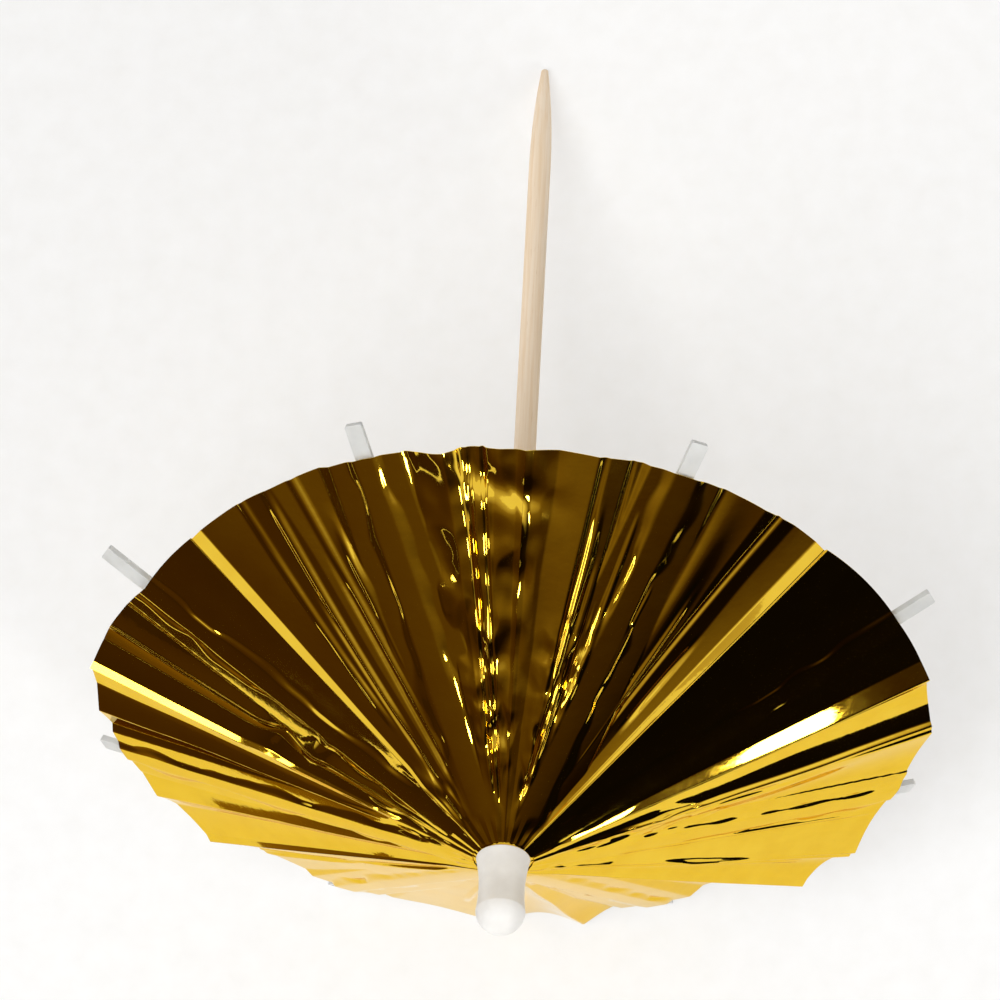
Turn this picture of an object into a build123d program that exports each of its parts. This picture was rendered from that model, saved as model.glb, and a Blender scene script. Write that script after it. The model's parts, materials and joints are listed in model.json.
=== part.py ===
"""Cocktail umbrella pick: a birch stick with a foil canopy on eight folding ribs.

The umbrella is modelled upright, with the stick along Z and its point at the origin. It is then laid
down as it rests on a table: on the stick's point and the ends of two ribs, crown up and towards -Y.
"""

from build123d import *
import os
from math import atan2, cos, degrees, radians, sin, tan

# Stick
PICK_LENGTH = 100.0
PICK_POINT_LENGTH = 12.0
PICK_POINT_DIAMETER = 0.7
PICK_POINT_ROUNDING = 0.17
PICK_SHANK_LENGTH = 34.0
PICK_SHANK_DIAMETER = 2.2
PICK_SWELL_LENGTH = 5.0
PICK_UPPER_DIAMETER = 2.3

# Crown cap
CAP_LENGTH = 8.4
CAP_GRIP = 3.9
CAP_FOOT_DIAMETER = 5.3
CAP_WAIST_DIAMETER = 4.5
CAP_WAIST_HEIGHT = 3.4
CAP_HEAD_DIAMETER = 4.9
CAP_DOME_LENGTH = 2.3

# Canopy, one sheet of foil with a fold over every rib and half way between the ribs
RIB_COUNT = 8
CONE_HALF_ANGLE = 62.0
RIM_RADIUS = 41.0
FOIL_THICKNESS = 0.15
FOIL_FLAT_RADIUS = 2.9
PLEATS_PER_HALF_GORE = 4
PLEAT_DEPTH = 0.8
PLEAT_RISE = 0.35
MID_FOLD_RISE = 0.9
FOLD_GAP_ANGLE = 0.15

# Ribs and struts, flat moulded strips with round cross pegs
RIB_LENGTH = 45.0
RIB_WIDTH = 1.7
RIB_THICKNESS = 0.6
RIB_CORNER_RADIUS = 0.2
RIB_NECK_LENGTH = 2.0
RIB_NECK_OVERLAP = 1.0
RIB_NECK_ANGLE = 53.0
STRIP_OFFSET = 1.0
STRUT_LENGTH = 18.0
STRUT_WIDTH = 0.9
STRUT_THICKNESS = 0.6
CLOSED_ANGLE = 6.0
EYE_RADIUS = 0.5
PEG_RADIUS = 0.35
PEG_OVERHANG = 0.4
EAR_THICKNESS = 0.4
EAR_LENGTH = 1.3

# Hub, runner, sleeve and ring on the stick
PIVOT_RADIUS = 3.3
HUB_RADIUS = 4.2
HUB_SKIRT = 1.0
RUNNER_RADIUS = 4.1
RUNNER_HALF_HEIGHT = 1.3
RUNNER_COLLAR_LENGTH = 2.0
RUNNER_COLLAR_DIAMETER = 4.4
SLEEVE_DIAMETER = 3.4
SLEEVE_EDGE_RADIUS = 0.05
RING_LENGTH = 2.6
RING_DIAMETER = 4.0
RING_EDGE_RADIUS = 0.4

# Clearances
FOIL_CLEARANCE = 0.3
SEAT_CLEARANCE = 0.05
PEG_CLEARANCE = 0.06
SLOT_CLEARANCE = 0.1
STICK_CLEARANCE = 0.06

# Heights along the stick, worked out from the sizes above
SLOPE = radians(CONE_HALF_ANGLE)
STEP_ANGLE = 360.0 / RIB_COUNT
CROWN_Z = PICK_LENGTH - CAP_GRIP
APEX_Z = CROWN_Z + FOIL_FLAT_RADIUS / tan(SLOPE)
FOIL_OFFSET = STRIP_OFFSET + RIB_THICKNESS / 2 + FOIL_CLEARANCE + FOIL_THICKNESS
HUB_PIVOT_Z = APEX_Z - PIVOT_RADIUS / tan(SLOPE) - FOIL_OFFSET / sin(SLOPE)
HUB_TOP_Z = CROWN_Z - FOIL_THICKNESS - SEAT_CLEARANCE
HUB_BOTTOM_Z = HUB_PIVOT_Z - HUB_SKIRT
RUNNER_PIVOT_Z = HUB_PIVOT_Z - 2 * STRUT_LENGTH * cos(SLOPE)
RUNNER_TOP_Z = RUNNER_PIVOT_Z + RUNNER_HALF_HEIGHT
RUNNER_FOOT_Z = RUNNER_PIVOT_Z - RUNNER_HALF_HEIGHT - RUNNER_COLLAR_LENGTH
FOLD_ANGLE = CONE_HALF_ANGLE - CLOSED_ANGLE
RUNNER_TRAVEL = 2 * STRUT_LENGTH * (cos(radians(CLOSED_ANGLE)) - cos(SLOPE))

# Fits between the pieces
UPPER_RADIUS = PICK_UPPER_DIAMETER / 2
STICK_BORE_RADIUS = UPPER_RADIUS + STICK_CLEARANCE
NECK_SLOT_WIDTH = STRUT_WIDTH + 2 * SLOT_CLEARANCE
PEG_LENGTH = STRUT_WIDTH + 2 * PEG_OVERHANG
PEG_SEAT_RADIUS = PEG_RADIUS + PEG_CLEARANCE
PEG_SEAT_LENGTH = PEG_LENGTH + 2 * SLOT_CLEARANCE
SLOT_ROOT_RADIUS = PIVOT_RADIUS - EYE_RADIUS - SLOT_CLEARANCE


def rib_angles():
    """Directions of the ribs about the stick, with none straight up or down."""
    return [STEP_ANGLE * (index + 0.5) for index in range(RIB_COUNT)]


def rib_place(angle):
    """Where a rib's own frame stands: X along the rib, Y along its hinge, Z out of its face."""
    return Rot(0, 0, angle) * Pos(PIVOT_RADIUS, 0, HUB_PIVOT_Z) * Rot(0, 90 - CONE_HALF_ANGLE, 0)


def strut_place(angle):
    """Where a strut's own frame stands: X from its rib to the runner, Y along its hinges."""
    joint = Pos(PIVOT_RADIUS + STRUT_LENGTH * sin(SLOPE), 0, HUB_PIVOT_Z - STRUT_LENGTH * cos(SLOPE))
    return Rot(0, 0, angle) * joint * Rot(0, 90 + CONE_HALF_ANGLE, 0)


def pleat_folds():
    """Folds of one gore from side to side: angle from its rib and height above the smooth cone at the rim."""
    half_angle = STEP_ANGLE / 2
    folds = []
    for index in range(-PLEATS_PER_HALF_GORE, PLEATS_PER_HALF_GORE + 1):
        angle = half_angle * index / PLEATS_PER_HALF_GORE
        height = -PLEAT_DEPTH if index % 2 else PLEAT_RISE
        if index == 0:
            height = 0.0
        if abs(index) == PLEATS_PER_HALF_GORE:
            height = MID_FOLD_RISE
            angle -= FOLD_GAP_ANGLE * (1 if index > 0 else -1)
        folds.append((radians(angle), height))
    return folds


def gore_section(distance):
    """Closed zigzag outline of one gore's foil, cut square to its rib at a distance from the stick."""
    outer = []
    for angle, height in pleat_folds():
        lift = height / sin(SLOPE) / (RIM_RADIUS * cos(angle))
        drop = 1 / (cos(angle) * tan(SLOPE)) - lift
        outer.append((distance * tan(angle), APEX_Z - distance * drop))
    inner = [(y, z - FOIL_THICKNESS / sin(SLOPE)) for y, z in reversed(outer)]
    return outer + inner


def make_pick():
    """Round stick: a blunt point with rounded flanks, a straight shank and a thicker upper part."""
    point_edge = (PICK_POINT_DIAMETER / 2, 0)
    point_shoulder = (PICK_SHANK_DIAMETER / 2, PICK_POINT_LENGTH)
    shank_z = PICK_POINT_LENGTH + PICK_SHANK_LENGTH
    with BuildPart() as pick:
        with BuildSketch(Plane.XZ):
            with BuildLine():
                TangentArc(point_shoulder, point_edge, tangent=(0, -1))
                Polyline(
                    point_edge,
                    (0, 0),
                    (0, PICK_LENGTH),
                    (UPPER_RADIUS, PICK_LENGTH),
                    (UPPER_RADIUS, shank_z + PICK_SWELL_LENGTH),
                    (PICK_SHANK_DIAMETER / 2, shank_z),
                    point_shoulder,
                )
            make_face()
        revolve(axis=Axis.Z)
        tip_edge = pick.edges().filter_by(GeomType.CIRCLE).sort_by(Axis.Z)[0]
        fillet(tip_edge, PICK_POINT_ROUNDING)
    return pick.part


def make_crown_cap():
    """White cap with a flared foot, a slight waist and a domed end, with a blind bore for the stick."""
    foot_radius = CAP_FOOT_DIAMETER / 2
    waist_radius = CAP_WAIST_DIAMETER / 2
    head_radius = CAP_HEAD_DIAMETER / 2
    head_z = CAP_LENGTH - CAP_DOME_LENGTH
    dome_radius = (head_radius**2 + CAP_DOME_LENGTH**2) / (2 * CAP_DOME_LENGTH)
    dome_half_angle = atan2(head_radius, dome_radius - CAP_DOME_LENGTH) / 2
    dome_middle_z = CAP_LENGTH - dome_radius * (1 - cos(dome_half_angle))
    dome_middle = (dome_radius * sin(dome_half_angle), dome_middle_z)
    bore_depth = CAP_GRIP + SEAT_CLEARANCE
    with BuildPart() as crown_cap:
        with BuildSketch(Plane.XZ):
            with BuildLine():
                Polyline((0, CAP_LENGTH), (0, 0), (foot_radius, 0))
                ThreePointArc((foot_radius, 0), (waist_radius, CAP_WAIST_HEIGHT), (head_radius, head_z))
                ThreePointArc((head_radius, head_z), dome_middle, (0, CAP_LENGTH))
            make_face()
        revolve(axis=Axis.Z)
        with BuildSketch(Plane.XY):
            Circle(UPPER_RADIUS + SEAT_CLEARANCE)
        extrude(amount=bore_depth, mode=Mode.SUBTRACT)
    return Pos(0, 0, CROWN_Z) * crown_cap.part


def make_crown_hub():
    """Notched hub under the foil: a slot for each rib's neck, with round seats for its peg."""
    shoulder_drop = (HUB_RADIUS - FOIL_FLAT_RADIUS) / tan(SLOPE) + FOIL_CLEARANCE
    with BuildPart() as crown_hub:
        with BuildSketch(Plane.XZ):
            with BuildLine():
                Polyline(
                    (STICK_BORE_RADIUS, HUB_BOTTOM_Z),
                    (HUB_RADIUS, HUB_BOTTOM_Z),
                    (HUB_RADIUS, HUB_TOP_Z - shoulder_drop),
                    (FOIL_FLAT_RADIUS - FOIL_CLEARANCE, HUB_TOP_Z),
                    (STICK_BORE_RADIUS, HUB_TOP_Z),
                    close=True,
                )
            make_face()
        revolve(axis=Axis.Z)
        slot_length = HUB_RADIUS - SLOT_ROOT_RADIUS + SLOT_CLEARANCE
        slot_height = HUB_TOP_Z - HUB_BOTTOM_Z + 2 * SLOT_CLEARANCE
        for angle in rib_angles():
            with Locations(Rot(0, 0, angle) * Pos(SLOT_ROOT_RADIUS, 0, HUB_BOTTOM_Z - SLOT_CLEARANCE)):
                Box(
                    slot_length,
                    NECK_SLOT_WIDTH,
                    slot_height,
                    align=(Align.MIN, Align.CENTER, Align.MIN),
                    mode=Mode.SUBTRACT,
                )
            with Locations(Rot(0, 0, angle) * Pos(PIVOT_RADIUS, 0, HUB_PIVOT_Z) * Rot(90, 0, 0)):
                Cylinder(PEG_SEAT_RADIUS, PEG_SEAT_LENGTH, mode=Mode.SUBTRACT)
    return crown_hub.part


def make_runner():
    """Notched collar that slides on the stick: a slot for each strut, with peg seats open downwards."""
    with BuildPart() as runner:
        with BuildSketch(Plane.XY.offset(RUNNER_PIVOT_Z - RUNNER_HALF_HEIGHT)):
            Circle(RUNNER_RADIUS)
        extrude(amount=2 * RUNNER_HALF_HEIGHT)
        with BuildSketch(Plane.XY.offset(RUNNER_FOOT_Z)):
            Circle(RUNNER_COLLAR_DIAMETER / 2)
        extrude(amount=RUNNER_COLLAR_LENGTH)
        with BuildSketch(Plane.XY.offset(RUNNER_FOOT_Z)):
            Circle(STICK_BORE_RADIUS)
        extrude(amount=RUNNER_COLLAR_LENGTH + 2 * RUNNER_HALF_HEIGHT, mode=Mode.SUBTRACT)
        slot_length = RUNNER_RADIUS - SLOT_ROOT_RADIUS + SLOT_CLEARANCE
        seat_drop = RUNNER_HALF_HEIGHT + SLOT_CLEARANCE
        for angle in rib_angles():
            with Locations(Rot(0, 0, angle) * Pos(SLOT_ROOT_RADIUS, 0, RUNNER_PIVOT_Z)):
                Box(
                    slot_length,
                    NECK_SLOT_WIDTH,
                    2 * seat_drop,
                    align=(Align.MIN, Align.CENTER, Align.CENTER),
                    mode=Mode.SUBTRACT,
                )
            pivot = Rot(0, 0, angle) * Pos(PIVOT_RADIUS, 0, RUNNER_PIVOT_Z)
            with Locations(pivot * Rot(90, 0, 0)):
                Cylinder(PEG_SEAT_RADIUS, PEG_SEAT_LENGTH, mode=Mode.SUBTRACT)
            with Locations(pivot):
                Box(
                    2 * PEG_SEAT_RADIUS,
                    PEG_SEAT_LENGTH,
                    seat_drop,
                    align=(Align.CENTER, Align.CENTER, Align.MAX),
                    mode=Mode.SUBTRACT,
                )
    return runner.part


def make_tube(bottom_z, length, diameter, bore_radius, edge):
    """Plain round tube on the stick, with its outer edges eased."""
    with BuildPart() as tube:
        with BuildSketch(Plane.XY.offset(bottom_z)):
            Circle(diameter / 2)
            Circle(bore_radius, mode=Mode.SUBTRACT)
        extrude(amount=length)
        outer_edges = tube.edges().filter_by(GeomType.CIRCLE).group_by(SortBy.RADIUS)[-1]
        fillet(outer_edges, edge)
    return tube.part


def make_rib():
    """Flat strip in its own frame, with a pegged neck at the hub and two ears for its strut."""
    strip_low = STRIP_OFFSET - RIB_THICKNESS / 2
    strip_high = strip_low + RIB_THICKNESS
    neck_end = RIB_NECK_LENGTH + RIB_NECK_OVERLAP
    neck_low = (EYE_RADIUS * cos(radians(RIB_NECK_ANGLE)), -EYE_RADIUS * sin(radians(RIB_NECK_ANGLE)))
    ear_gap = STRUT_WIDTH + 2 * SLOT_CLEARANCE
    with BuildPart() as rib:
        with Locations((RIB_NECK_LENGTH, 0, strip_low)):
            Box(
                RIB_LENGTH - RIB_NECK_LENGTH,
                RIB_WIDTH,
                RIB_THICKNESS,
                align=(Align.MIN, Align.CENTER, Align.MIN),
            )
        with BuildSketch(Plane.XZ.offset(-STRUT_WIDTH / 2)):
            Circle(EYE_RADIUS)
            with BuildLine():
                Polyline(
                    (0, EYE_RADIUS),
                    (RIB_NECK_LENGTH / 2, STRIP_OFFSET),
                    (RIB_NECK_LENGTH / 2, strip_high),
                    (neck_end, strip_high),
                    (neck_end, strip_low),
                    (RIB_NECK_LENGTH, strip_low),
                    neck_low,
                    close=True,
                )
            make_face()
        extrude(amount=STRUT_WIDTH)
        with Locations(Rot(90, 0, 0)):
            Cylinder(PEG_RADIUS, PEG_LENGTH)
        for side in (-1, 1):
            near = side * ear_gap / 2
            with BuildSketch(Plane.XZ.offset(-near)):
                with Locations((STRUT_LENGTH, 0)):
                    Circle(EAR_LENGTH / 2)
                    Rectangle(EAR_LENGTH, strip_low, align=(Align.CENTER, Align.MIN))
                    Circle(PEG_SEAT_RADIUS, mode=Mode.SUBTRACT)
            extrude(amount=-side * EAR_THICKNESS)
        end_edges = rib.edges().filter_by(Axis.Z).group_by(Axis.X)[-1]
        fillet(end_edges, RIB_CORNER_RADIUS)
    return rib.part


def make_strut():
    """Slim bar in its own frame, with round ends and a cross peg at each end."""
    with BuildPart() as strut:
        with BuildSketch(Plane.XZ.offset(-STRUT_WIDTH / 2)):
            with Locations((0, 0), (STRUT_LENGTH, 0)):
                Circle(EYE_RADIUS)
            with Locations((STRUT_LENGTH / 2, 0)):
                Rectangle(STRUT_LENGTH, STRUT_THICKNESS)
        extrude(amount=STRUT_WIDTH)
        with Locations(Rot(90, 0, 0)):
            Cylinder(PEG_RADIUS, STRUT_WIDTH + 2 * SLOT_CLEARANCE + 2 * EAR_THICKNESS)
        with Locations(Pos(STRUT_LENGTH, 0, 0) * Rot(90, 0, 0)):
            Cylinder(PEG_RADIUS, PEG_LENGTH)
    return strut.part


def make_gore():
    """Pleated foil of one rib, out to the fold half way to each neighbour, with its flat under the cap."""
    inner_x = FOIL_FLAT_RADIUS
    outer_x = RIM_RADIUS + FOIL_CLEARANCE
    half_angle = radians(STEP_ANGLE / 2 - FOLD_GAP_ANGLE)
    hole_x = UPPER_RADIUS + FOIL_CLEARANCE
    flat_x = inner_x + FOIL_THICKNESS / sin(SLOPE)
    with BuildPart() as gore:
        for distance in (inner_x, outer_x):
            with BuildSketch(Plane(origin=(distance, 0, 0), x_dir=(0, 1, 0), z_dir=(1, 0, 0))):
                with BuildLine():
                    Polyline(*gore_section(distance), close=True)
                make_face()
        loft(ruled=True)
        with BuildSketch(Plane.XY.offset(CROWN_Z - FOIL_THICKNESS)):
            with BuildLine():
                Polyline(
                    (hole_x, -hole_x * tan(half_angle)),
                    (flat_x, -flat_x * tan(half_angle)),
                    (flat_x, flat_x * tan(half_angle)),
                    (hole_x, hole_x * tan(half_angle)),
                    close=True,
                )
            make_face()
        extrude(amount=FOIL_THICKNESS)
        Cylinder(
            RIM_RADIUS,
            APEX_Z,
            align=(Align.CENTER, Align.CENTER, Align.MIN),
            mode=Mode.INTERSECT,
        )
    return gore.part


def rest_tilt():
    """Angle between stick and table when the stick's point and the two lowest ribs' ends touch it."""
    below = radians(STEP_ANGLE / 2)
    tilts = []
    for face in (-RIB_THICKNESS / 2, RIB_THICKNESS / 2):
        out = PIVOT_RADIUS + RIB_LENGTH * sin(SLOPE) + (STRIP_OFFSET + face) * cos(SLOPE)
        height = HUB_PIVOT_Z - RIB_LENGTH * cos(SLOPE) + (STRIP_OFFSET + face) * sin(SLOPE)
        for side in (-RIB_WIDTH / 2, RIB_WIDTH / 2):
            down = out * cos(below) + side * sin(below)
            tilts.append(degrees(atan2(down - PICK_POINT_DIAMETER / 2, height)))
    return max(tilts)


pieces = {
    "pick": make_pick(),
    "crown_cap": make_crown_cap(),
    "crown_hub": make_crown_hub(),
    "spacer_sleeve": make_tube(
        RUNNER_TOP_Z + SLOT_CLEARANCE,
        HUB_BOTTOM_Z - RUNNER_TOP_Z - SLOT_CLEARANCE - SEAT_CLEARANCE,
        SLEEVE_DIAMETER,
        STICK_BORE_RADIUS,
        SLEEVE_EDGE_RADIUS,
    ),
    "runner": make_runner(),
    "retaining_ring": make_tube(
        RUNNER_FOOT_Z - SLOT_CLEARANCE - RING_LENGTH,
        RING_LENGTH,
        RING_DIAMETER,
        STICK_BORE_RADIUS,
        RING_EDGE_RADIUS,
    ),
}
rib = make_rib()
strut = make_strut()
gore = make_gore()
for number, angle in enumerate(rib_angles(), start=1):
    pieces[f"rib_{number}"] = rib_place(angle) * rib
    pieces[f"strut_{number}"] = strut_place(angle) * strut
    pieces[f"canopy_gore_{number}"] = Rot(0, 0, angle) * gore

# Laid down on the table, over the middle of the space that the umbrella covers
LAY_DOWN = Rot(90 - rest_tilt(), 0, 0)
boxes = [(LAY_DOWN * piece).bounding_box() for piece in pieces.values()]
low_y = min(box.min.Y for box in boxes)
high_y = max(box.max.Y for box in boxes)
low_z = min(box.min.Z for box in boxes)
REST_POSE = Pos(0, -(low_y + high_y) / 2, -low_z) * LAY_DOWN

os.makedirs("parts", exist_ok=True)
for name, piece in pieces.items():
    laid = REST_POSE * piece
    laid.label = name
    export_step(laid, f"parts/{name}.step")
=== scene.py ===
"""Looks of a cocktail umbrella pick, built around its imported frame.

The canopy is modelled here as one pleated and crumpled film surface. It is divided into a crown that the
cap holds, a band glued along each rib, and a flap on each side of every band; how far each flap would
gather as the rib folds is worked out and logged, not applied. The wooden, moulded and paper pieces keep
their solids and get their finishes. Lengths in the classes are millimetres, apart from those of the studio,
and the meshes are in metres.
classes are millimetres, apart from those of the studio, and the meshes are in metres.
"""

import json
import logging
import math
from dataclasses import dataclass
from enum import Enum

import bpy
import numpy as np
from mathutils import Matrix, Vector, noise


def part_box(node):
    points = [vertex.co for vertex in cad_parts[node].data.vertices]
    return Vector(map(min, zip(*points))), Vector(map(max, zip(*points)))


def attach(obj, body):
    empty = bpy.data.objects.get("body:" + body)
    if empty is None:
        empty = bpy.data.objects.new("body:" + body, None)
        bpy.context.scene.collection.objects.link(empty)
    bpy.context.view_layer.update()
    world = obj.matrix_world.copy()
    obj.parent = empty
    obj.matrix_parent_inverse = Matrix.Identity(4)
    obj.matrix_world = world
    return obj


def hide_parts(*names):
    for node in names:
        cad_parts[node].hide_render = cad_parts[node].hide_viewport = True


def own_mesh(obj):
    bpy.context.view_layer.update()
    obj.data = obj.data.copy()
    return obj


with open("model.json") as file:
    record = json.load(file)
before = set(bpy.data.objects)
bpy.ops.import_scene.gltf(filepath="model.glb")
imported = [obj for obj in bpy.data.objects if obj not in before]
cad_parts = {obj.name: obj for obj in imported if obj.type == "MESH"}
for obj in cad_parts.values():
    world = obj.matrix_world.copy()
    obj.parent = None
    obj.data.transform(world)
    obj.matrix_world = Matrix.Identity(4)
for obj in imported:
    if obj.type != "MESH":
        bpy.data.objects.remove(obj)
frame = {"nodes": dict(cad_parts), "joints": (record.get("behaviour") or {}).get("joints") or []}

LOG = logging.getLogger("umbrella")
MM = 0.001
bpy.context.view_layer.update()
# Layers of the film's noise: the step between two, the crumples' first, and how far on their fine ones are
LAYER_STEP = 17.3
CRUMPLE_LAYER = 10
FINE_LAYER = 20


def linear(hex_colour: str) -> tuple[float, float, float, float]:
    """Turn an sRGB hex colour into linear values.

    Args:
        hex_colour: Six hex digits, with or without a leading hash.

    Returns:
        Linear red, green and blue, and an alpha of 1.
    """
    digits = hex_colour.lstrip("#")
    parts = [int(digits[i : i + 2], 16) / 255 for i in (0, 2, 4)]
    steps = [c / 12.92 if c <= 0.04045 else ((c + 0.055) / 1.055) ** 2.4 for c in parts]
    return (steps[0], steps[1], steps[2], 1.0)


def add_node(tree: bpy.types.NodeTree, kind: str, inputs: dict | None = None, **settings) -> bpy.types.Node:
    """Add a node with its settings and links.

    Args:
        tree: Node tree of a material or the world.
        kind: Blender's name of the node type.
        inputs: Values or output sockets by input name or number.
        **settings: Properties of the node itself.

    Returns:
        The new node.
    """
    node = tree.nodes.new(kind)
    for name, value in settings.items():
        setattr(node, name, value)
    for name, value in (inputs or {}).items():
        if isinstance(value, bpy.types.NodeSocket):
            tree.links.new(value, node.inputs[name])
        else:
            node.inputs[name].default_value = value
    return node


def new_material(name: str) -> tuple[bpy.types.Material, bpy.types.NodeTree]:
    """Make an empty node material.

    Args:
        name: The material's name.

    Returns:
        The material and its node tree, with no nodes in it.
    """
    material = bpy.data.materials.new(name)
    material.use_nodes = True
    material.node_tree.nodes.clear()
    return material, material.node_tree


def colour_ramp(
    tree: bpy.types.NodeTree, factor: bpy.types.NodeSocket, stops: list[tuple[float, str]]
) -> bpy.types.NodeSocket:
    """Colour a factor by a ramp of hex colours.

    Args:
        tree: Node tree of a material.
        factor: Socket that drives the ramp.
        stops: Positions from 0 to 1 with their hex colours, in order.

    Returns:
        The ramp's colour socket.
    """
    ramp = add_node(tree, "ShaderNodeValToRGB", {"Fac": factor})
    while len(ramp.color_ramp.elements) < len(stops):
        ramp.color_ramp.elements.new(0.5)
    for element, (position, colour) in zip(ramp.color_ramp.elements, stops):
        element.position = position
        element.color = linear(colour)
    return ramp.outputs["Color"]


def along_stick(tree: bpy.types.NodeTree, stick_turn: float) -> bpy.types.NodeSocket:
    """Turn the object's coordinates so that Z runs along the stick.

    Args:
        tree: Node tree of a material.
        stick_turn: Angle of the stick from the upright, in radians.

    Returns:
        Socket of the turned coordinates.
    """
    place = add_node(tree, "ShaderNodeTexCoord").outputs["Object"]
    turned = add_node(tree, "ShaderNodeMapping", {"Vector": place, "Rotation": (stick_turn, 0, 0)})
    return turned.outputs["Vector"]


def grid_object(name: str, grid: np.ndarray) -> bpy.types.Object:
    """Lay quads through a grid of points.

    Args:
        name: The object's name.
        grid: Points by row and column, in metres.

    Returns:
        The object, linked to the scene.
    """
    rows, columns = grid.shape[:2]
    faces = []
    for row in range(rows - 1):
        for column in range(columns - 1):
            first = row * columns + column
            faces.append((first, first + columns, first + columns + 1, first + 1))
    mesh = bpy.data.meshes.new(name)
    mesh.from_pydata(grid.reshape(-1, 3).tolist(), [], faces)
    made = bpy.data.objects.new(name, mesh)
    bpy.context.scene.collection.objects.link(made)
    return made


def half_turns(angles: np.ndarray) -> np.ndarray:
    """Bring angles to within half a turn of 0.

    Args:
        angles: Angles in radians.

    Returns:
        The same directions, from minus to plus half a turn.
    """
    return np.mod(angles + math.pi, math.tau) - math.pi


def smooth_step(low: float, high: float | np.ndarray, values: np.ndarray) -> np.ndarray:
    """Rise smoothly from 0 at low to 1 at high.

    Args:
        low: Value where the step starts.
        high: Value where the step ends.
        values: Values to map.

    Returns:
        Shares from 0 to 1.
    """
    share = np.clip((values - low) / (high - low), 0.0, 1.0)
    return share * share * (3 - 2 * share)


@dataclass(frozen=True)
class UmbrellaAxes:
    """The umbrella's own frame: the stick along Z towards the crown, X level across it, Y up its face.

    Attributes:
        origin: Middle of the hub's pivot circle, in metres.
        across: Level direction across the stick.
        upward: Direction square to the stick, away from the table.
        crown: Direction of the stick towards the crown.
        pivot_radius: Distance of the rib pivots from the stick's axis, in millimetres.
        half_angle: Angle between the stick and an open rib, in radians.
        closed_angle: Angle between the stick and a closed rib, in radians.
        rib_angles: Direction of each rib about the stick, in radians.
    """

    origin: Vector
    across: Vector
    upward: Vector
    crown: Vector
    pivot_radius: float
    half_angle: float
    closed_angle: float
    rib_angles: tuple[float, ...]

    @classmethod
    def from_joints(cls, joints: list[dict]) -> "UmbrellaAxes":
        """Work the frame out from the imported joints.

        Args:
            joints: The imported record's joints.

        Returns:
            The umbrella's axes.
        """
        by_name = {joint["name"]: joint for joint in joints}
        crown = -Vector(by_name["runner_slide"]["axis"]).normalized()
        pivots, knees = [], []
        while f"rib_{len(pivots) + 1}_fold" in by_name:
            number = len(pivots) + 1
            pivots.append(Vector(by_name[f"rib_{number}_fold"]["pos_m"]))
            knees.append(Vector(by_name[f"strut_{number}_fold"]["pos_m"]))
        origin = sum(pivots, Vector()) / len(pivots)
        across = Vector((1, 0, 0))
        upward = crown.cross(across)
        arms = [pivot - origin for pivot in pivots]
        angles = [math.atan2(arm.dot(upward), arm.dot(across)) % math.tau for arm in arms]
        half_angle = (knees[0] - pivots[0]).angle(-crown)
        closed_angle = half_angle - math.radians(max(by_name["rib_1_fold"]["range_deg"]))
        radius = arms[0].length / MM
        return cls(origin, across, upward, crown, radius, half_angle, closed_angle, tuple(angles))

    def to_world(self, points: np.ndarray) -> np.ndarray:
        """Place points of the umbrella's own frame.

        Args:
            points: Points in millimetres, one in each row.

        Returns:
            The same points in metres in the row frame.
        """
        turn = np.array([self.across, self.upward, self.crown])
        return np.array(self.origin) + points @ turn * MM

    def tangent(self, angle: float) -> Vector:
        """Direction round the stick.

        Args:
            angle: Direction about the stick, in radians.

        Returns:
            The direction square to it, in the row frame.
        """
        return self.across * -math.sin(angle) + self.upward * math.cos(angle)


@dataclass(frozen=True)
class GoldFilm:
    """Gold metallised polyester film, lacquered: a tinted mirror with fine creases and a faint haze."""

    name: str = "gold_metallised_film"
    bright: str = "#EBC338"
    deep: str = "#E6BB31"
    edge: str = "#FAE9A8"
    roughness: float = 0.045
    haze: float = 0.03
    patch_size: float = 3.0
    crease_size: float = 1.1
    crease_height: float = 0.012

    def material(self) -> bpy.types.Material:
        """Build the film's node material.

        Returns:
            The material.
        """
        material, tree = new_material(self.name)
        place = add_node(tree, "ShaderNodeTexCoord").outputs["Object"]
        patch = add_node(
            tree,
            "ShaderNodeTexNoise",
            {"Vector": place, "Scale": 1 / (self.patch_size * MM), "Detail": 3.0, "Roughness": 0.55},
        )
        crease = add_node(
            tree,
            "ShaderNodeTexNoise",
            {"Vector": place, "Scale": 1 / (self.crease_size * MM), "Detail": 2.0, "Roughness": 0.5},
        )
        haze = add_node(
            tree,
            "ShaderNodeMapRange",
            {
                "Value": patch.outputs["Fac"],
                "From Min": 0.35,
                "From Max": 0.75,
                "To Min": self.roughness,
                "To Max": self.roughness + self.haze,
            },
        )
        bump = add_node(
            tree,
            "ShaderNodeBump",
            {"Height": crease.outputs["Fac"], "Strength": 0.6, "Distance": self.crease_height * MM},
        )
        tone = colour_ramp(tree, patch.outputs["Fac"], [(0.3, self.deep), (0.65, self.bright)])
        shader = add_node(
            tree,
            "ShaderNodeBsdfPrincipled",
            {
                "Base Color": tone,
                "Metallic": 1.0,
                "Roughness": haze.outputs["Result"],
                "Specular Tint": linear(self.edge),
                "Coat Weight": 0.2,
                "Coat Roughness": 0.03,
                "Normal": bump.outputs["Normal"],
            },
        )
        add_node(tree, "ShaderNodeOutputMaterial", {"Surface": shader.outputs["BSDF"]})
        return material


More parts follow.
